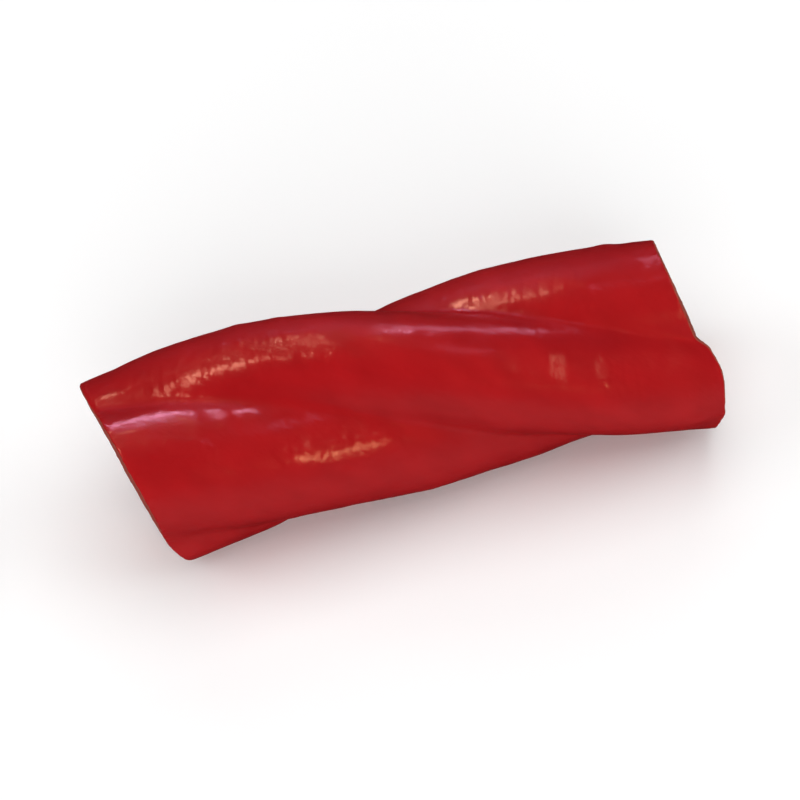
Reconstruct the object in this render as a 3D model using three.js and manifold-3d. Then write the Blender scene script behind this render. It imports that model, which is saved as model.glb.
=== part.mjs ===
// Red licorice twist: a bite-size piece cut from a rope of sweet dough.
// The rope is pressed out as three fused strands and twisted to the right, and both its ends are
// slanted knife cuts. It lies on the two lowest crests, which its own weight has pressed flat.
// Millimetres, +Z up, +X along the bar, origin in the middle of the surface that it lies on.

import * as THREE from "three";
import { mergeVertices } from "three/addons/utils/BufferGeometryUtils.js";
import Module from "manifold-3d";

const wasm = await Module();
wasm.setup();

// The three strands: how far the middle of each stands off the axis, its radius, and where it lies
// round the axis, in degrees from the first crease.
const STRANDS = [
  { offset: 1.46, radius: 4.98, at: 60 },
  { offset: 2.71, radius: 5, at: 183.3 },
  { offset: 3.64, radius: 4.47, at: 288.6 },
];
const CREASE_SHARPNESS = 6; // per mm, higher makes the creases between the strands narrower

// The twist, in degrees from +Y up to +Z.
const TWIST_START = 70.7; // where the first crease stands at the left cut
const TWIST_TURN = 187; // about half a turn, right-hand
const TWIST_EASE = 5.1; // the turn is slower near the ends, and lags by this a quarter of the way in

// The bar as a whole.
const BOW = 0.2; // the middle stands off to +Y
const LEFT_PINCH = 0.045; // share by which the knife drew the section in at each end
const RIGHT_PINCH = 0.018;
const PINCH_REACH = 0.12; // share of the length over which the pinch fades

// The knife cuts: where each crosses the axis, and how far it runs along the bar for each
// millimetre that it goes back and up.
const LEFT_CUT = { at: -20.42, back: -0.136, up: -0.244 };
const RIGHT_CUT = { at: 21.46, back: 0.076, up: -0.35 };
const CUT_SWELL = 0.06; // the middle of a cut face stands out by this
const RIM_RADIUS = 0.2; // rounding where a cut face meets the skin

// Where the knife dragged the dough along the bar: at a side of a cut, given in degrees from the
// first crease, it moved by so much, and the dough within reach of that place followed. At the right
// cut one strand was drawn out past the others, and each cut has a corner that was pushed in.
const DRAGS = [
  { side: -105, along: 1, by: 0.93, reach: 4.46, oneStrand: true },
  { side: -48, along: 1, by: -1.3, reach: 5, oneStrand: false },
  { side: 165, along: 0, by: 1, reach: 4, oneStrand: false },
];

// How the bar lies.
const REST_PITCH = 2.69; // degrees by which the axis drops towards the right end
const REST_HEIGHT = 6.79; // from the surface that it lies on up to the axis
const SLAB_SPAN = 60; // of the block that takes the crests down to the flat spots
const SLAB_THICKNESS = 5;

// How finely the surface is laid out.
const SIDES = 60;
const RINGS_ALONG = 48;
const RIM_STEPS = 3;
const FACE_STEPS = 4;

const COLOUR = "#a21c1f";
const ROUGHNESS = 0.35;

// Distance from the axis to the outline of a round strand, seen at an angle from its middle.
function strandReach(strand, degrees) {
  const turn = THREE.MathUtils.degToRad(degrees);
  const side = strand.offset * Math.sin(turn);
  const chord = Math.sqrt(Math.max(strand.radius ** 2 - side ** 2, 0));
  return strand.offset * Math.cos(turn) + chord;
}

// Distance from the axis to the outline of all three, with soft creases: a smooth maximum.
function sectionRadius(degrees) {
  let sum = 0;
  for (const strand of STRANDS) {
    sum += Math.exp(CREASE_SHARPNESS * strandReach(strand, degrees - strand.at));
  }
  return Math.log(sum) / CREASE_SHARPNESS;
}

// Share of the section's full size at a share of the way along the bar.
function sectionScale(share) {
  const left = LEFT_PINCH * Math.exp(-((share / PINCH_REACH) ** 2));
  const right = RIGHT_PINCH * Math.exp(-(((1 - share) / PINCH_REACH) ** 2));
  return 1 - left - right;
}

// Angle of the first crease at a share of the way along the bar.
function twistAngle(share) {
  return TWIST_START + TWIST_TURN * share - TWIST_EASE * Math.sin(2 * Math.PI * share);
}

// A point of the surface before the knife drags it. The side is an angle that turns with the
// twist, along runs from 0 at the left cut to 1 at the right one, depth is how far under the skin
// the point lies, inset how far towards the axis, from 0 to 1, and setback how far in from the cut.
// The sections follow the slants of the two cuts, blended along the bar.
function twistedPoint(side, { along, depth, inset, setback }) {
  const angle = THREE.MathUtils.degToRad(side + twistAngle(along));
  const radius = (sectionRadius(side) * sectionScale(along) - depth) * (1 - inset);
  const y = radius * Math.cos(angle) + BOW * Math.sin(Math.PI * along);
  const z = radius * Math.sin(angle);
  const back = THREE.MathUtils.lerp(LEFT_CUT.back, RIGHT_CUT.back, along);
  const up = THREE.MathUtils.lerp(LEFT_CUT.up, RIGHT_CUT.up, along);
  const x = THREE.MathUtils.lerp(LEFT_CUT.at + setback, RIGHT_CUT.at - setback, along);
  const swell = CUT_SWELL * inset * (2 - inset) * (2 * along - 1);
  return new THREE.Vector3(x + back * y + up * z + swell, y, z);
}

// Which of the three strands lies outermost at a side.
function outerStrand(side) {
  const reaches = STRANDS.map((strand) => strandReach(strand, side - strand.at));
  return reaches.indexOf(Math.max(...reaches));
}

// A point of the surface, moved by each of the drags in turn, the less the farther from its middle
// it lies. A drag of one strand leaves the others where they are, with a step between.
function draggedPoint(side, ring, drags) {
  const point = twistedPoint(side, ring);
  for (const drag of drags) {
    if (!drag.oneStrand || outerStrand(side) === outerStrand(drag.side)) {
      const nearness = 1 - point.distanceTo(drag.middle) / drag.reach;
      point.x += drag.by * THREE.MathUtils.smoothstep(nearness, 0, 1);
    }
  }
  return point;
}

// The drags with their middles, on the rims of the cuts.
function placedDrags() {
  const placed = [];
  for (const drag of DRAGS) {
    const rim = { along: drag.along, depth: 0, inset: 0, setback: 0 };
    placed.push({ ...drag, middle: draggedPoint(drag.side, rim, placed) });
  }
  return placed;
}

// The rings from the middle of the left cut to its rim and over the rounding, in that order.
function endRings() {
  const rings = [];
  for (let step = 1; step <= FACE_STEPS; step += 1) {
    rings.push({ depth: RIM_RADIUS, inset: 1 - step / FACE_STEPS, setback: 0 });
  }
  for (let step = 1; step < RIM_STEPS; step += 1) {
    const bend = (Math.PI / 2) * (step / RIM_STEPS);
    const depth = RIM_RADIUS * (1 - Math.sin(bend));
    rings.push({ depth, inset: 0, setback: RIM_RADIUS * (1 - Math.cos(bend)) });
  }
  return rings;
}

// All rings of the surface from the left cut to the right one.
function allRings() {
  const end = endRings();
  const rings = end.map((ring) => ({ ...ring, along: 0 }));
  for (let step = 0; step <= RINGS_ALONG; step += 1) {
    rings.push({ along: step / RINGS_ALONG, depth: 0, inset: 0, setback: RIM_RADIUS });
  }
  end.reverse().forEach((ring) => rings.push({ ...ring, along: 1 }));
  return rings;
}

// The closed surface of the bar before it is laid down, faces pointing out.
function barGeometry() {
  const rings = allRings();
  const drags = placedDrags();
  const positions = [];
  for (const ring of rings) {
    for (let step = 0; step < SIDES; step += 1) {
      positions.push(...draggedPoint((360 * step) / SIDES, ring, drags).toArray());
    }
  }
  const leftMiddle = rings.length * SIDES;
  const rightMiddle = leftMiddle + 1;
  for (const along of [0, 1]) {
    const middle = { along, depth: RIM_RADIUS, inset: 1, setback: 0 };
    positions.push(...draggedPoint(0, middle, drags).toArray());
  }

  const triangles = [];
  const lastRing = (rings.length - 1) * SIDES;
  for (let step = 0; step < SIDES; step += 1) {
    const next = (step + 1) % SIDES;
    triangles.push(leftMiddle, next, step);
    triangles.push(rightMiddle, lastRing + step, lastRing + next);
    for (let first = 0; first < lastRing; first += SIDES) {
      const second = first + SIDES;
      triangles.push(first + step, first + next, second + next);
      triangles.push(first + step, second + next, second + step);
    }
  }
  const geometry = new THREE.BufferGeometry();
  geometry.setAttribute("position", new THREE.Float32BufferAttribute(positions, 3));
  geometry.setIndex(triangles);
  return geometry;
}

// A solid that can be cut, made from a closed geometry.
function toSolid(geometry) {
  const bare = geometry.clone();
  bare.deleteAttribute("normal");
  bare.deleteAttribute("uv");
  const merged = mergeVertices(bare);
  const vertProperties = merged.attributes.position.array;
  const triVerts = Uint32Array.from(merged.index.array);
  return new wasm.Manifold(new wasm.Mesh({ numProp: 3, vertProperties, triVerts }));
}

// The geometry of a solid after its cuts.
function toGeometry(solid) {
  const mesh = solid.getMesh();
  const geometry = new THREE.BufferGeometry();
  geometry.setAttribute("position", new THREE.BufferAttribute(mesh.vertProperties, mesh.numProp));
  geometry.setIndex(new THREE.BufferAttribute(mesh.triVerts, 1));
  geometry.computeVertexNormals();
  return geometry;
}

// The bar laid down on its two lowest crests, with their flat spots.
function licoriceTwist() {
  const bar = barGeometry();
  bar.rotateY(THREE.MathUtils.degToRad(REST_PITCH));
  bar.translate(0, 0, REST_HEIGHT);
  const slab = new THREE.BoxGeometry(SLAB_SPAN, SLAB_SPAN, SLAB_THICKNESS);
  slab.translate(0, 0, -SLAB_THICKNESS / 2);
  const geometry = toGeometry(toSolid(bar).subtract(toSolid(slab)));
  geometry.computeBoundingBox();
  const middle = geometry.boundingBox.getCenter(new THREE.Vector3());
  geometry.translate(-middle.x, -middle.y, 0);
  const dough = new THREE.MeshStandardMaterial({ color: COLOUR, roughness: ROUGHNESS, metalness: 0 });
  const mesh = new THREE.Mesh(geometry, dough);
  mesh.name = "licorice_twist";
  return mesh;
}

const part = new THREE.Group();
part.add(licoriceTwist());

export default part;
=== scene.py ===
import math

import bmesh
import bpy
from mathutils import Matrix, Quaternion, Vector


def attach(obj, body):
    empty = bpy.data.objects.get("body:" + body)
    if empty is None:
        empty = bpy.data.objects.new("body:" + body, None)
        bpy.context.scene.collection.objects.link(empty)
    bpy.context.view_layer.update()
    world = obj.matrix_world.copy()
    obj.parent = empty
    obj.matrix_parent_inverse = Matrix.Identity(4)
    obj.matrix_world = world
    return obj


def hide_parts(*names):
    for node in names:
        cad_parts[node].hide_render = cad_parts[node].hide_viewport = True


# Red licorice twist: a bite-size piece of glazed red dough, three fused strands twisted to the
# right, cut off at a slant at both ends and lying on its two lowest crests.
# +Z is up and +X runs along the bar. Blender's units are metres, and all sizes here are in
# millimetres, so they are multiplied by MM on their way into Blender. Angles are in degrees.

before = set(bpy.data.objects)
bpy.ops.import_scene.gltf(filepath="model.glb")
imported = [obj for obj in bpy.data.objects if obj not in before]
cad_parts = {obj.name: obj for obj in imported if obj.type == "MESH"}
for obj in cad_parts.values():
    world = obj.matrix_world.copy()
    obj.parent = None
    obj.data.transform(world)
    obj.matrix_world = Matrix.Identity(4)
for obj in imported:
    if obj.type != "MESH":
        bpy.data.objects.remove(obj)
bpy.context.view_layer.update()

MM = 0.001

# Sizes of the dough

# The three strands: how far the middle of each stands off the axis, its radius, and where it lies
# round the axis, in degrees from the first crease.
STRANDS = (
    {"offset": 1.46, "radius": 4.98, "at": 60},
    {"offset": 2.71, "radius": 5, "at": 183.3},
    {"offset": 3.64, "radius": 4.47, "at": 288.6},
)
CREASE_SHARPNESS = 6  # per mm, higher makes the creases between the strands narrower

# The twist, in degrees from +Y up to +Z.
TWIST_START = 70.7  # where the first crease stands at the left cut
TWIST_TURN = 187  # about half a turn, right-hand
TWIST_EASE = 5.1  # the turn lags by this a quarter of the way in

# The bar as a whole.
BOW = 0.2  # the middle stands off to +Y
LEFT_PINCH = 0.045  # share by which the knife drew the section in at each end
RIGHT_PINCH = 0.018
PINCH_REACH = 0.12  # share of the length over which the pinch fades

# The knife cuts: where each crosses the axis, and how far it runs along the bar for each
# millimetre that it goes back and up.
LEFT_CUT = {"at": -20.42, "back": -0.136, "up": -0.244, "facing": -1}
RIGHT_CUT = {"at": 21.46, "back": 0.076, "up": -0.35, "facing": 1}
CUT_SWELL = 0.06  # the middle of a cut face stands out by this
RIM_RADIUS = 0.2  # rounding where a cut face meets the skin

# Where the knife dragged the dough along the bar: at a side of a cut, given in degrees from the
# first crease, it moved by so much, and the dough within reach of that place followed. At the right
# cut one strand was drawn out past the others, and each cut has a corner that was pushed in.
DRAGS = (
    {"side": -105, "cut": RIGHT_CUT, "by": 0.93, "reach": 4.46, "one_strand": True},
    {"side": -48, "cut": RIGHT_CUT, "by": -1.3, "reach": 5, "one_strand": False},
    {"side": 165, "cut": LEFT_CUT, "by": 1, "reach": 4, "one_strand": False},
)

# How the bar lies: its axis drops towards the right end, and its middle is here.
REST_PITCH = 2.69
BAR_MIDDLE = Vector((-0.719, 0.025, 6.79))

# How finely the dough is laid out before it is smoothed.
SIDES = 72
RINGS = 60
FACE_RINGS = (0.86, 0.66, 0.46, 0.28, 0.12)  # shares of the section, towards the middle of a cut
RIM_STEPS = 3
SMOOTHING = 2

# Small lumps that stand up from the skin, and dents where the height is below zero, each at a share
# of the way along and a side.
LUMPS = (
    {"along": 0.285, "side": 289, "by": 0.15, "reach": 1},
    {"along": 0.352, "side": 285, "by": 0.2, "reach": 1},
    {"along": 0.922, "side": 170, "by": 0.2, "reach": 1},
    {"along": 0.01, "side": 136, "by": -0.5, "reach": 1.9},
    {"along": 0.99, "side": 248, "by": -0.3, "reach": 1.8},
    {"along": 0.985, "side": 299, "by": -0.35, "reach": 2.2},
)

# The dough was pressed out soft and never comes out quite even, and the knife left the cuts torn.
UNEVENNESS = (
    {"name": "hand feel", "size": 6, "height": 0.25, "places": ""},
    {"name": "small lumps", "size": 1.6, "height": 0.06, "places": ""},
    {"name": "torn crumb", "size": 0.5, "height": 0.12, "places": "cut faces"},
)

# Ripples across the strands: their pitch along the bar, how many meet round it so that they cross
# each strand at a right angle, and how high they stand. They are faint all over and deep on a few
# strips. A strip runs from one place on the skin to another, each given as the share along the bar
# and the side. It has its value up to half its reach away, and fades from there. Where strips
# overlap, the later one lies on top.
RIPPLE_PITCH = 0.9
RIPPLES_ROUND = 19
RIPPLE_HEIGHT = 0.08
RIPPLE_BLOTS = 0.8  # size of the blots of noise that make the ripples, as a share of the pitch
RIPPLE_BREAKS = 3  # how fast the noise changes along a ripple, lower makes the ripples longer
FAINT_RIPPLES = 0.1
RIPPLED_STRIPS = (
    {"start": (0.1, 338), "end": (0.38, 307), "reach": 2.4, "value": 1},
    {"start": (0.62, 236), "end": (0.83, 218), "reach": 2.4, "value": 1},
    {"start": (0.26, 31), "end": (0.42, 7), "reach": 1.3, "value": 0.8},
    {"start": (0.06, 36), "end": (0.13, 34), "reach": 1.2, "value": 1},
    {"start": (0.74, 275), "end": (0.84, 272), "reach": 3, "value": 0.6},
)

# The oil lies uneven: how much there is all over, from 0 to 1, and the strips where there is less
# or more of it. How much oil lay where can't be seen, so the strips are set to make the highlights
# begin and end about where they do in the photo.
OIL = 0.5
OIL_STRIPS = (
    {"start": (0.63, 218), "end": (0.93, 194), "reach": 1.9, "value": 0.03},
    {"start": (0.56, 231), "end": (0.605, 232), "reach": 1.1, "value": 0.03},
    {"start": (0.08, 333), "end": (0.27, 315), "reach": 0.7, "value": 0.08},
    {"start": (0.03, 344), "end": (0.16, 349), "reach": 0.5, "value": 0.05},
    {"start": (0.04, 30), "end": (0.15, 18), "reach": 0.8, "value": 0.1},
    {"start": (0.005, 31), "end": (0.045, 28), "reach": 0.7, "value": 0.08},
    {"start": (0.9, 236), "end": (0.99, 239), "reach": 0.8, "value": 0.03},
    {"start": (0.3, 300), "end": (0.46, 287), "reach": 1.4, "value": 0.03},
    {"start": (0.42, 299), "end": (0.5, 297), "reach": 0.8, "value": 0.03},
    {"start": (0.63, 241), "end": (0.79, 246), "reach": 0.8, "value": 0.03},
    {"start": (0.42, 351), "end": (0.5, 351), "reach": 1.3, "value": 0.03},
    {"start": (0.62, 300), "end": (0.8, 287), "reach": 1.6, "value": 0.03},
    {"start": (0.12, 356), "end": (0.3, 352), "reach": 1, "value": 0.03},
    {"start": (0.72, 273), "end": (0.87, 273), "reach": 2.2, "value": 0.03},
    {"start": (0.18, 39), "end": (0.25, 34), "reach": 1.2, "value": 0.1},
    {"start": (0.775, 250), "end": (0.83, 247), "reach": 0.8, "value": 0.15},
    {"start": (0.02, 21), "end": (0.094, 7.5), "reach": 0.6, "value": 0.8},
    {"start": (0.094, 7.5), "end": (0.24, 359.5), "reach": 0.6, "value": 1},
    {"start": (0.157, 350), "end": (0.157, 15), "reach": 0.6, "value": 0.05},
    {"start": (0.2, 350), "end": (0.2, 15), "reach": 0.5, "value": 0.05},
    {"start": (0.53, 281), "end": (0.69, 259), "reach": 0.7, "value": 0.9},
    {"start": (0.69, 259), "end": (0.73, 255), "reach": 0.6, "value": 1},
    {"start": (0.64, 235), "end": (0.78, 222), "reach": 0.7, "value": 1},
    {"start": (0.18, 333), "end": (0.26, 322), "reach": 1, "value": 1},
    {"start": (0.035, 338), "end": (0.05, 337), "reach": 0.8, "value": 1},
    {"start": (0.28, 29), "end": (0.33, 23), "reach": 0.9, "value": 1},
    {"start": (0.35, 19), "end": (0.4, 11), "reach": 0.7, "value": 0.9},
    {"start": (0.76, 265), "end": (0.744, 282), "reach": 0.6, "value": 0.8},
    {"start": (0.823, 263), "end": (0.817, 276), "reach": 0.5, "value": 0.5},
)


# Helpers

def linear(hex_colour):
    """An sRGB hex colour as the linear colour that a shader takes."""
    shares = [int(hex_colour[i:i + 2], 16) / 255 for i in (1, 3, 5)]
    return [c / 12.92 if c <= 0.04045 else ((c + 0.055) / 1.055) ** 2.4 for c in shares] + [1]


def direction(azimuth, elevation):
    """The way from the piece to a lamp or the camera. Azimuth 0 is the front, 90 the right."""
    az, el = math.radians(azimuth), math.radians(elevation)
    return Vector((math.sin(az) * math.cos(el), -math.cos(az) * math.cos(el), math.sin(el)))


def blend(low, high, share):
    return low + (high - low) * share


def select_parts(piece, kind, wanted):
    """In edit mode, selects the corners, edges or faces that answer wanted, and no others."""
    kinds = ("verts", "edges", "faces")
    bpy.context.tool_settings.mesh_select_mode = [kind == other for other in kinds]
    bpy.ops.mesh.select_all(action="DESELECT")
    mesh = bmesh.from_edit_mesh(piece.data)
    for part in getattr(mesh, kind):
        part.select_set(wanted(part))
    bmesh.update_edit_mesh(piece.data)


def finish_with(piece, kind, **settings):
    """Adds a modifier with these settings and applies it."""
    bpy.ops.object.select_all(action="DESELECT")
    piece.select_set(True)
    bpy.context.view_layer.objects.active = piece
    modifier = piece.modifiers.new(kind.lower(), kind)
    for name, value in settings.items():
        setattr(modifier, name, value)
    bpy.ops.object.modifier_apply(modifier=modifier.name)


def feed(material, socket, value):
    """Gives an input its value, or links it where the value is an output of another node."""
    if isinstance(value, bpy.types.NodeSocket):
        material.node_tree.links.new(value, socket)
    else:
        socket.default_value = value


def add_node(material, kind, inputs=None, **settings):
    """Adds a shader node with its settings and feeds its inputs."""
    made = material.node_tree.nodes.new(kind)
    for name, value in settings.items():
        setattr(made, name, value)
    for name, value in (inputs or {}).items():
        feed(material, made.inputs[name], value)
    return made


# Camera, from above the front of the piece and a hand's length off. Its angles were fitted to the
# photo's outline, together with the form of the piece.

FOCAL_LENGTH = 3.55  # in widths of the picture
CAMERA_AZIMUTH = -15.642
CAMERA_ELEVATION = 50.796
CAMERA_DISTANCE = 200
CAMERA_ROLL = -4.032
AIM_RIGHT = -0.678  # of the bar's middle, in the picture
AIM_UP = 0.135
NEAREST_SEEN = 10

camera = bpy.data.objects.new("camera", bpy.data.cameras.new("camera"))
bpy.context.scene.collection.objects.link(camera)
bpy.context.scene.camera = camera
camera.data.lens = FOCAL_LENGTH * camera.data.sensor_width
camera.data.clip_start = NEAREST_SEEN * MM
towards_camera = direction(CAMERA_AZIMUTH, CAMERA_ELEVATION)
camera.rotation_mode = "QUATERNION"
upright = (-towards_camera).to_track_quat("-Z", "Y")
camera.rotation_quaternion = Quaternion(towards_camera, math.radians(CAMERA_ROLL)) @ upright
aim = camera.rotation_quaternion @ Vector((AIM_RIGHT, AIM_UP, CAMERA_DISTANCE))
camera.location = (BAR_MIDDLE + aim) * MM


# Shape of the dough

SKIN, CRUMB = 0, 1  # the two materials of the piece
ALONG_THE_BAR = 0.9  # a face is part of a cut if its normal runs along the bar by more than this
AT_CUT = 0.01  # a corner is on a cut if it lies this near
CAGE_MARGIN = 2  # the cage that slants the cuts stands out past them by this
CAGE_WIDTH = 24


def strand_reach(strand, degrees):
    """Distance from the axis to the outline of a round strand, seen at an angle from its middle."""
    turn = math.radians(degrees)
    side = strand["offset"] * math.sin(turn)
    return strand["offset"] * math.cos(turn) + math.sqrt(max(strand["radius"] ** 2 - side ** 2, 0))


def section_radius(degrees):
    """Distance from the axis to the outline of all three, with soft creases."""
    reaches = [strand_reach(strand, degrees - strand["at"]) for strand in STRANDS]
    return math.log(sum(math.exp(CREASE_SHARPNESS * reach) for reach in reaches)) / CREASE_SHARPNESS


def section_scale(share):
    """Share of the section's full size at a share of the way along the bar."""
    left = LEFT_PINCH * math.exp(-((share / PINCH_REACH) ** 2))
    right = RIGHT_PINCH * math.exp(-(((1 - share) / PINCH_REACH) ** 2))
    return 1 - left - right


def twist_angle(share):
    """Angle of the first crease at a share of the way along the bar."""
    return TWIST_START + TWIST_TURN * share - TWIST_EASE * math.sin(2 * math.pi * share)


def bar_axis(share):
    """The point of the bar's axis at a share of the way along."""
    x = blend(LEFT_CUT["at"], RIGHT_CUT["at"], share)
    return Vector((x, BOW * math.sin(math.pi * share), 0))


def share_along(x):
    """The share of the way along the bar at a place on its axis."""
    return (x - LEFT_CUT["at"]) / (RIGHT_CUT["at"] - LEFT_CUT["at"])


def three_strand_outline():
    """A circle at the left cut, its corners pulled out to the outline of the three strands."""
    start = bar_axis(0) * MM
    bpy.ops.object.select_all(action="DESELECT")
    bpy.ops.mesh.primitive_circle_add(
        vertices=SIDES, radius=MM, fill_type="NGON", location=start, rotation=(0, math.pi / 2, 0))
    bpy.ops.object.transform_apply(location=True, rotation=True, scale=True)
    piece = bpy.context.object
    piece.name = "glazed_twist"
    piece.vertex_groups.new(name="cut faces")
    for name in ("glazed licorice dough", "knife-cut licorice dough"):
        piece.data.materials.append(bpy.data.materials.new(name))
        piece.data.materials[name].use_nodes = True
    bpy.ops.object.mode_set(mode="EDIT")
    for corner in range(SIDES):
        select_parts(piece, "verts", lambda vert: vert.index == corner)
        mesh = bmesh.from_edit_mesh(piece.data)
        mesh.verts.ensure_lookup_table()
        place = mesh.verts[corner].co
        side = math.degrees(math.atan2(place.z, place.y)) - TWIST_START
        reach = section_radius(side) * section_scale(0)
        bpy.ops.transform.resize(value=(1, reach, reach), center_override=start)
    return piece


def pull_the_rope(piece):
    """The outline is drawn along the axis, ring by ring, and turned and sized on the way."""
    select_parts(piece, "faces", lambda face: True)
    for ring in range(1, RINGS + 1):
        before, share = (ring - 1) / RINGS, ring / RINGS
        middle = bar_axis(share) * MM
        bpy.ops.mesh.extrude_region_move(
            TRANSFORM_OT_translate={"value": middle - bar_axis(before) * MM})
        turn = math.radians(twist_angle(share) - twist_angle(before))
        bpy.ops.transform.rotate(value=-turn, orient_axis="X", center_override=middle)
        size = section_scale(share) / section_scale(before)
        bpy.ops.transform.resize(value=(1, size, size), center_override=middle)


def shape_cut_face(piece, cut):
    """Rings towards the middle of a cut face, which stands out a little."""
    def is_end(face):
        return face.normal.x * cut["facing"] > ALONG_THE_BAR

    middle = Vector((cut["at"], 0, 0)) * MM
    select_parts(piece, "faces", lambda face: len(face.verts) == SIDES and is_end(face))
    size, height = 1, 0
    for share in FACE_RINGS:
        swell = CUT_SWELL * (1 - share ** 2) * cut["facing"]
        bpy.ops.mesh.extrude_region_move(
            TRANSFORM_OT_translate={"value": ((swell - height) * MM, 0, 0)})
        bpy.ops.transform.resize(
            value=(1, share / size, share / size), center_override=middle)
        size, height = share, swell
    bpy.ops.mesh.poke()
    select_parts(piece, "faces", is_end)
    piece.active_material_index = CRUMB
    bpy.ops.object.material_slot_assign()
    bpy.ops.object.vertex_group_assign()


def round_the_rims(piece):
    """The edges between the skin and the cut faces are rounded."""
    def on_rim(edge):
        at_cut = any(all(abs(vert.co.x / MM - cut["at"]) < AT_CUT for vert in edge.verts)
                     for cut in (LEFT_CUT, RIGHT_CUT))
        return at_cut and {round(abs(face.normal.x)) for face in edge.link_faces} == {0, 1}

    select_parts(piece, "edges", on_rim)
    bpy.ops.mesh.bevel(offset=RIM_RADIUS * MM, segments=RIM_STEPS, affect="EDGES")


def straight_place(place):
    """Where a point of the twisted rope lay before the twist, in millimetres."""
    share = share_along(place.x / MM)
    beside_axis = place / MM - bar_axis(share)
    untwist = Quaternion((1, 0, 0), -math.radians(twist_angle(share)))
    return Vector((place.x / MM, 0, 0)) + untwist @ beside_axis


def keep_straight_places(piece):
    """Stores the untwisted place of each point, for the patterns that follow the strands."""
    places = piece.data.attributes.new("untwisted", "FLOAT_VECTOR", "POINT")
    for vert in piece.data.vertices:
        places.data[vert.index].vector = straight_place(vert.co)


def place_on_skin(along, side):
    """A place on the skin before the twist, in millimetres."""
    turn = math.radians(side)
    radius = section_radius(side) * section_scale(along)
    x = blend(LEFT_CUT["at"], RIGHT_CUT["at"], along)
    return Vector((x, radius * math.cos(turn), radius * math.sin(turn)))


def mark_strips(piece, name, elsewhere, strips):
    """Stores the value that the strips give each point, and the one elsewhere."""
    marks = piece.data.attributes.new(name, "FLOAT", "POINT")
    straight = [place.vector for place in piece.data.attributes["untwisted"].data]
    values = [elsewhere] * len(straight)
    for strip in strips:
        start = place_on_skin(*strip["start"])
        whole = place_on_skin(*strip["end"]) - start
        for index, place in enumerate(straight):
            share = min(max((place - start).dot(whole) / whole.length_squared, 0), 1)
            away = (place - start - whole * share).length
            if away < strip["reach"]:
                near = min(2 - 2 * away / strip["reach"], 1)
                values[index] = blend(values[index], strip["value"], near * near * (3 - 2 * near))
    marks.data.foreach_set("value", values)


def slant_both_cuts(piece):
    """A cage round the bar, pushed askew, slants each cut and blends the two slants between."""
    ends = (LEFT_CUT["at"] - CAGE_MARGIN, RIGHT_CUT["at"] + CAGE_MARGIN)
    length = ends[1] - ends[0]
    bpy.ops.object.add(type="LATTICE", location=(sum(ends) / 2 * MM, 0, 0))
    cage = bpy.context.object
    cage.scale = Vector((length, CAGE_WIDTH, CAGE_WIDTH)) * MM
    cage.data.interpolation_type_u = "KEY_LINEAR"
    cage.data.interpolation_type_v = "KEY_LINEAR"
    cage.data.interpolation_type_w = "KEY_LINEAR"
    for point in cage.data.points:
        share = share_along(blend(*ends, point.co.x + 0.5))
        back = blend(LEFT_CUT["back"], RIGHT_CUT["back"], share) * point.co.y
        up = blend(LEFT_CUT["up"], RIGHT_CUT["up"], share) * point.co.z
        point.co_deform.x = point.co.x + (back + up) * CAGE_WIDTH / length
    finish_with(piece, "LATTICE", object=cage)
    bpy.data.objects.remove(cage)


def outer_strand(degrees):
    """Which of the three strands lies outermost at a side."""
    reaches = [strand_reach(strand, degrees - strand["at"]) for strand in STRANDS]
    return reaches.index(max(reaches))


def nearest_corner(straight, along, side):
    """The corner that lies nearest to a place on the skin."""
    place = place_on_skin(along, side)
    return min(range(len(straight)), key=lambda index: (straight[index] - place).length)


def move_softly(piece, corner, way, reach):
    """Moves a corner, and those within reach the less the farther they are."""
    select_parts(piece, "verts", lambda vert: vert.index == corner)
    bpy.ops.transform.translate(
        value=way, use_proportional_edit=True, proportional_edit_falloff="SMOOTH",
        proportional_size=reach * MM)


def drag_dough(piece, drag):
    """Near one side of a cut the dough moves along the bar. With one_strand the other strands are
    hidden meanwhile, so that a step stands between."""
    straight = [place.vector for place in piece.data.attributes["untwisted"].data]
    strands = [outer_strand(math.degrees(math.atan2(place.z, place.y))) for place in straight]
    own = outer_strand(drag["side"])
    corner = nearest_corner(straight, 0 if drag["cut"] is LEFT_CUT else 1, drag["side"])
    bpy.ops.object.mode_set(mode="EDIT")
    if drag["one_strand"]:
        select_parts(piece, "verts", lambda vert: strands[vert.index] == own)
        bpy.ops.mesh.hide(unselected=True)
    move_softly(piece, corner, (drag["by"] * MM, 0, 0), drag["reach"])
    bpy.ops.mesh.reveal()
    bpy.ops.object.mode_set(mode="OBJECT")


def raise_lump(piece, lump):
    """Near one place the skin moves out, or in where the height is below zero."""
    straight = [place.vector for place in piece.data.attributes["untwisted"].data]
    corner = nearest_corner(straight, lump["along"], lump["side"])
    outwards = piece.data.vertices[corner].normal.copy()
    bpy.ops.object.mode_set(mode="EDIT")
    move_softly(piece, corner, outwards * lump["by"] * MM, lump["reach"])
    bpy.ops.object.mode_set(mode="OBJECT")


def lay_down(piece):
    """The bar tilts and rises to where it rests on its two lowest crests."""
    bpy.ops.object.mode_set(mode="EDIT")
    bpy.ops.mesh.select_all(action="SELECT")
    bpy.ops.transform.rotate(
        value=-math.radians(REST_PITCH), orient_axis="Y", center_override=(0, 0, 0))
    bpy.ops.transform.translate(value=BAR_MIDDLE * MM)
    bpy.ops.object.mode_set(mode="OBJECT")


def make_uneven(piece, lumps):
    """Lumps of about this size and height, all over or in a group of places."""
    cloud = bpy.data.textures.new(lumps["name"], "CLOUDS")
    cloud.noise_scale = lumps["size"] * MM
    cloud.noise_depth = 1
    finish_with(piece, "DISPLACE", texture=cloud, texture_coords="LOCAL",
                strength=lumps["height"] * MM, mid_level=0.5, vertex_group=lumps["places"])


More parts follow.
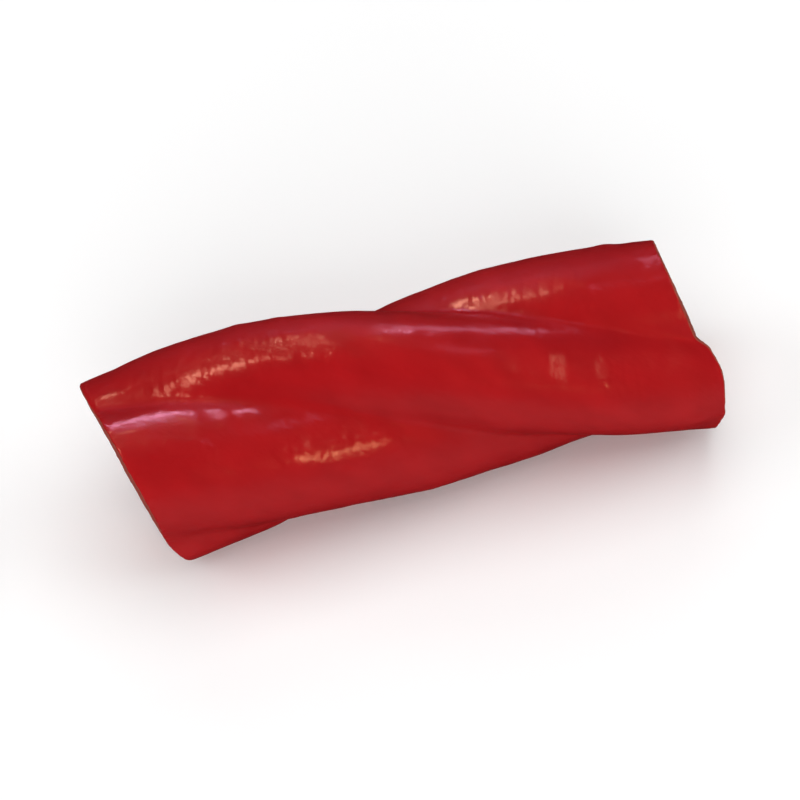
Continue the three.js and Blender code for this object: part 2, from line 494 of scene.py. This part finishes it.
def press_flat(piece):
    """The two lowest crests are pressed flat by the weight of the piece."""
    bpy.ops.object.mode_set(mode="EDIT")
    select_parts(piece, "verts", lambda vert: vert.co.z < 0)
    bpy.ops.transform.resize(value=(1, 1, 0), center_override=(0, 0, 0))
    bpy.ops.object.mode_set(mode="OBJECT")


twist = three_strand_outline()
pull_the_rope(twist)
for cut in (LEFT_CUT, RIGHT_CUT):
    shape_cut_face(twist, cut)
round_the_rims(twist)
bpy.ops.object.mode_set(mode="OBJECT")
keep_straight_places(twist)
slant_both_cuts(twist)
for drag in DRAGS:
    drag_dough(twist, drag)
for lump in LUMPS:
    raise_lump(twist, lump)
lay_down(twist)
finish_with(twist, "SUBSURF", levels=SMOOTHING, render_levels=SMOOTHING)
mark_strips(twist, "rippled", FAINT_RIPPLES, RIPPLED_STRIPS)
mark_strips(twist, "oil", OIL, OIL_STRIPS)
for lumps in UNEVENNESS:
    make_uneven(twist, lumps)
press_flat(twist)
bpy.ops.object.shade_smooth()


# Materials

DOUGH_IOR = 1.45  # near that of sugar syrup and oil
SEE_THROUGH = 0.15  # share of the light that goes into the dough and comes out again
LIGHT_DEPTH = 1  # how far it gets
LIGHT_DEPTH_BY_COLOUR = (1.0, 0.2, 0.15)  # red gets farthest
COLOUR_RUN = (0.3, 0.7)  # where in a noise the two colours of a dough are reached
CLOUD_SIZE = 2.8  # of the clouds of lighter and darker red in the skin

# The sizes of the pores, the crumb and the lines that the blade left are guesses: the photo is too
# soft to show them, and shows the cuts edge-on. Each is at least three pixels of the render wide,
# where a pixel is 0.07.
PORE_SIZE = 0.5
PORE_DEPTH = 0.02
CRUMB_CLOUD_SIZE = 0.7  # of the clouds of lighter and darker brown in the cut faces
CRUMB_SIZE = 0.25
CRUMB_DEPTH = 0.05
BLADE_LINE_WIDTH = 0.4
BLADE_LINE_DEPTH = 0.06
BLADE_LINE_STRETCH = 0.15  # their width as a share of their length, up and down the cut


def colour_between(material, share, low, high):
    """A colour that runs from low to high with a share."""
    ramp = add_node(material, "ShaderNodeValToRGB", {"Fac": share})
    for element, place, colour in zip(ramp.color_ramp.elements, COLOUR_RUN, (low, high)):
        element.position = place
        element.color = linear(colour)
    return ramp.outputs["Color"]


def noise(material, places, size, detail=2.0):
    """Noise with blots of about this size, in the unit of the places."""
    made = add_node(material, "ShaderNodeTexNoise", {"Vector": places, "Scale": 1 / size,
                                                     "Detail": detail})
    return made.outputs["Fac"]


def calculate(material, operation, *values):
    """A number worked out from up to three values or outputs."""
    made = add_node(material, "ShaderNodeMath", operation=operation)
    for socket, value in zip(made.inputs, values):
        feed(material, socket, value)
    return made.outputs["Value"]


def raised(material, height, millimetres, under=None):
    """The normal of a surface that this height raises by up to so many millimetres."""
    inputs = {"Height": height, "Distance": millimetres * MM}
    if under:
        inputs["Normal"] = under
    return add_node(material, "ShaderNodeBump", inputs).outputs["Normal"]


def set_surface(material, inputs):
    """Feeds the inputs of a material's own shader."""
    surface = material.node_tree.nodes["Principled BSDF"]
    for name, value in inputs.items():
        feed(material, surface.inputs[name], value)


def set_dough(material, colour, relief, inputs):
    """Sets what the two doughs share: both are slightly see-through, and the relief breaks up
    their gloss and that of the oil on top."""
    set_surface(material, {
        "Base Color": colour, "Normal": relief, "Coat Normal": relief, "IOR": DOUGH_IOR,
        "Subsurface Weight": SEE_THROUGH, "Subsurface Radius": LIGHT_DEPTH_BY_COLOUR,
        "Subsurface Scale": LIGHT_DEPTH * MM, **inputs})


# Wheat and sugar dough dyed deep red, oiled so that it doesn't stick. The oil gives sharp narrow
# highlights, and the damp dough under it wide dull ones. Fine ripples across each strand, such as
# the drag of a nozzle leaves, break the highlights up.
skin = twist.data.materials[SKIN]
straight = add_node(skin, "ShaderNodeAttribute", attribute_name="untwisted").outputs["Vector"]
split = add_node(skin, "ShaderNodeSeparateXYZ", {"Vector": straight}).outputs
around = calculate(skin, "ARCTAN2", split["Z"], split["Y"])
across = calculate(skin, "MULTIPLY_ADD", around, RIPPLES_ROUND / (2 * math.pi),
                   calculate(skin, "DIVIDE", split["X"], RIPPLE_PITCH))
ripple_places = add_node(skin, "ShaderNodeCombineXYZ", {
    "X": across, "Y": calculate(skin, "MULTIPLY", around, RIPPLE_BREAKS)}).outputs["Vector"]
ripples = noise(skin, ripple_places, RIPPLE_BLOTS, detail=1.0)
rippled = add_node(skin, "ShaderNodeAttribute", attribute_name="rippled").outputs["Fac"]
pores = raised(skin, noise(skin, straight, PORE_SIZE, detail=3.0), PORE_DEPTH)
relief = raised(skin, calculate(skin, "MULTIPLY", ripples, rippled), RIPPLE_HEIGHT, under=pores)
clouds = noise(skin, straight, CLOUD_SIZE, detail=3.0)
oil = add_node(skin, "ShaderNodeAttribute", attribute_name="oil").outputs["Fac"]
set_dough(skin, colour_between(skin, clouds, "#951115", "#a01418"), relief, {
    "Roughness": 0.45, "Specular IOR Level": 0.15, "Coat Weight": oil, "Coat Roughness": 0.2})

# The same dough where the knife parted it: no oil, torn and dry, so duller and browner, with the
# drag lines of the blade.
crumb = twist.data.materials[CRUMB]
in_metres = add_node(crumb, "ShaderNodeTexCoord").outputs["Object"]
blade_places = add_node(crumb, "ShaderNodeMapping", {
    "Vector": in_metres, "Scale": (1 / MM, 1 / MM, BLADE_LINE_STRETCH / MM)}).outputs["Vector"]
crumb_places = add_node(crumb, "ShaderNodeMapping", {
    "Vector": in_metres, "Scale": (1 / MM, 1 / MM, 1 / MM)}).outputs["Vector"]
blade_lines = raised(crumb, noise(crumb, blade_places, BLADE_LINE_WIDTH), BLADE_LINE_DEPTH)
relief = raised(crumb, noise(crumb, crumb_places, CRUMB_SIZE, detail=4.0), CRUMB_DEPTH,
                under=blade_lines)
clouds = noise(crumb, crumb_places, CRUMB_CLOUD_SIZE, detail=4.0)
set_dough(crumb, colour_between(crumb, clouds, "#8a3326", "#9a4434"), relief, {"Roughness": 0.65})


# Floor and light

FLOOR_SIZE = 900
PANEL_DISTANCE = 1000
STRIP_DISTANCE = 150
WHITE = (1.0, 1.0, 1.0)
COOL = (1.0, 0.48, 0.75)  # gives the violet highlights
WARM = (1.0, 0.5, 0.33)  # gives the orange ones
AMBER = (1.0, 0.5, 0.25)

bpy.ops.mesh.primitive_plane_add(size=FLOOR_SIZE * MM, location=(0, 0, 0))
floor = bpy.context.object
floor.name = "floor"
paper = bpy.data.materials.new("white paper")
paper.use_nodes = True
set_surface(paper, {"Base Color": linear("#fcfcfc"), "Roughness": 0.9, "Specular IOR Level": 0})
floor.data.materials.append(paper)
floor.visible_glossy = False

backdrop = bpy.data.worlds.new("pale backdrop")
bpy.context.scene.world = backdrop
backdrop.use_nodes = True
backdrop.node_tree.nodes["Background"].inputs["Color"].default_value = linear("#f7f7f7")
backdrop.cycles_visibility.diffuse = False
backdrop.cycles_visibility.glossy = False


def add_lamp(name, place, towards, size, brightness, colour):
    """A rectangular lamp that faces a place on the bar and stands off from there. Its size is its
    width and height."""
    lamp = bpy.data.objects.new(name, bpy.data.lights.new(name, "AREA"))
    bpy.context.scene.collection.objects.link(lamp)
    lamp.data.shape = "RECTANGLE"
    lamp.data.size, lamp.data.size_y = size[0] * MM, size[1] * MM
    lamp.data.energy = brightness * math.pi * lamp.data.size * lamp.data.size_y
    lamp.data.color = colour
    lamp.location = (Vector(place) + towards) * MM
    lamp.rotation_mode = "QUATERNION"
    lamp.rotation_quaternion = towards.to_track_quat("Z", "Y")
    lamp.visible_camera = False
    return lamp


def add_panel(name, azimuth, elevation, size, brightness):
    """A large white panel, a metre off. It lights the piece but doesn't mirror in it."""
    towards = direction(azimuth, elevation) * PANEL_DISTANCE
    panel = add_lamp(name, BAR_MIDDLE, towards, size, brightness, WHITE)
    panel.data.cycles.use_multiple_importance_sampling = False
    panel.visible_glossy = False


def add_strip(name, place, start, end, width, brightness, colour):
    """A narrow lamp that mirrors near a place on the bar and gives no other light. It runs from one
    direction to another, each given as azimuth and elevation."""
    first, last = direction(*start) * STRIP_DISTANCE, direction(*end) * STRIP_DISTANCE
    towards = (first + last).normalized() * STRIP_DISTANCE
    strip = add_lamp(name, place, towards, (width, (last - first).length), brightness, colour)
    upright = strip.rotation_quaternion @ Vector((0, 1, 0))
    turn = upright.rotation_difference((last - first).normalized())
    strip.rotation_quaternion = turn @ strip.rotation_quaternion
    strip.visible_diffuse = False


add_panel("softbox", 0, 90, size=(1200, 1200), brightness=1.45)
add_panel("front panel", -15, 22, size=(1000, 800), brightness=3.2)
add_panel("right panel", 75, 25, size=(800, 800), brightness=1.9)
add_panel("back panel", 165, 30, size=(800, 800), brightness=1.2)
add_panel("left panel", -105, 25, size=(800, 800), brightness=2.1)

# The highlights look like mirrored windows and lamps, and the strips are named for that. Where and
# how large the real ones were isn't known: the strips are placed by the highlights alone.
add_strip("window, first pane", (-18.5, -0.2, 13.1), (172, 25), (165, 27.5),
          width=12, brightness=28, colour=COOL)
add_strip("window, second pane", (-15.2, -0.9, 13), (163.5, 33), (160.5, 35),
          width=12, brightness=28, colour=COOL)
add_strip("window, third pane", (-12.8, -1.5, 12.6), (154, 43), (149, 46),
          width=12, brightness=34, colour=COOL)
add_strip("window, far side", (-9.5, -2.7, 11.8), (118, 63), (90, 65),
          width=9, brightness=5, colour=COOL)
add_strip("window frame", (3, -0.8, 14.2), (159, 38), (146, 25),
          width=12, brightness=5.5, colour=COOL)
add_strip("window, low corner", (7, -1.8, 13.3), (146, 23), (141, 21.5),
          width=12, brightness=10, colour=COOL)
add_strip("ceiling lamp, left end", (-20.8, 3.5, 12.4), (-162, 53), (-156, 56),
          width=9, brightness=30, colour=WARM)
add_strip("ceiling lamp, left", (-13.5, 1.9, 13.7), (-88, 70), (-118, 74),
          width=24, brightness=17, colour=WARM)
add_strip("ceiling lamp, middle", (-9, 1.5, 14.6), (-160, 66), (-172, 70),
          width=14, brightness=12, colour=WARM)
add_strip("ceiling lamp, right", (5, 2.2, 12.5), (-177, 48), (-169, 58),
          width=14, brightness=25, colour=WARM)
add_strip("ceiling lamp, right end", (8, 1.2, 12.9), (-172, 64), (180, 74),
          width=14, brightness=10, colour=WARM)
add_strip("table lamp", (-7.5, -5, 10), (27, 28.5), (22, 24),
          width=22, brightness=18, colour=AMBER)
add_strip("side lamp", (10, -5.5, 11.7), (100, 56), (32, 42),
          width=14, brightness=6, colour=WARM)

bpy.context.scene.view_settings.view_transform = "Standard"

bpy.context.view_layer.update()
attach(twist, "root")
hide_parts("licorice_twist")
